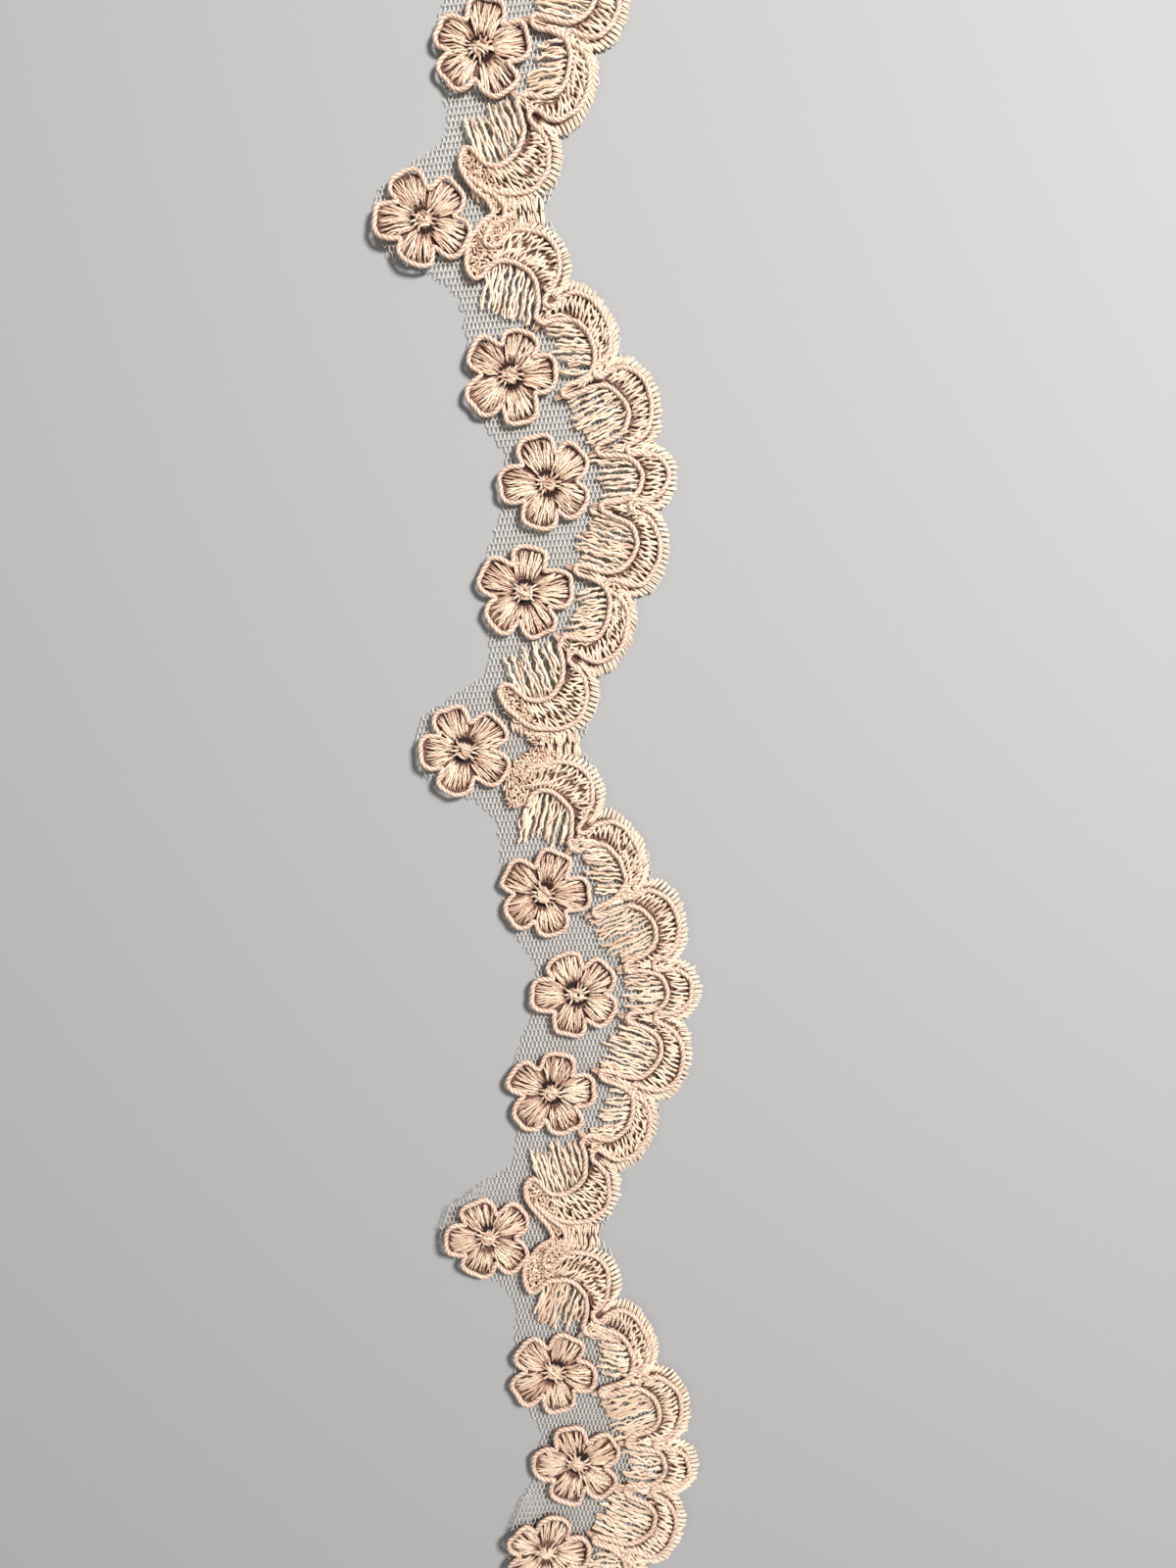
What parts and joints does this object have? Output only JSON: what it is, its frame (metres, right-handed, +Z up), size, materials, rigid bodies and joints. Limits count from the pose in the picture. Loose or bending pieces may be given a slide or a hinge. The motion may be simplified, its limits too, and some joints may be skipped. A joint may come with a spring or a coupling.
{
  "type": "corded lace edging trim",
  "caption": "Flat cut length of scalloped lace edging: corded embroidered flowers and a border of fans on a net ground.",
  "frame": {"origin": "middle of the footprint, on the surface that the trim lies on", "axes": "+Y along the trim, +X towards the scalloped edge, +Z up out of the face"},
  "size_m": [0.0828, 0.467, 0.0045],
  "materials": {
    "net": "fine matt net",
    "embroidery": "silky satin stitch and matt twisted cord"
  },
  "bodies": {
    "root": {"net_ground": "net", "flower_valley_1": "embroidery", "border_1": "embroidery", "flower_low_1": "embroidery", "flower_middle_1": "embroidery", "flower_high_1": "embroidery", "flower_valley_2": "embroidery", "border_2": "embroidery", "flower_low_2": "embroidery", "flower_middle_2": "embroidery", "flower_high_2": "embroidery", "flower_valley_3": "embroidery", "border_3": "embroidery", "flower_low_3": "embroidery", "flower_middle_3": "embroidery", "flower_high_3": "embroidery", "flower_valley_4": "embroidery", "border_4": "embroidery", "flower_low_4": "embroidery", "flower_middle_4": "embroidery", "flower_high_4": "embroidery", "flower_valley_5": "embroidery"}
  },
  "joints": []
}
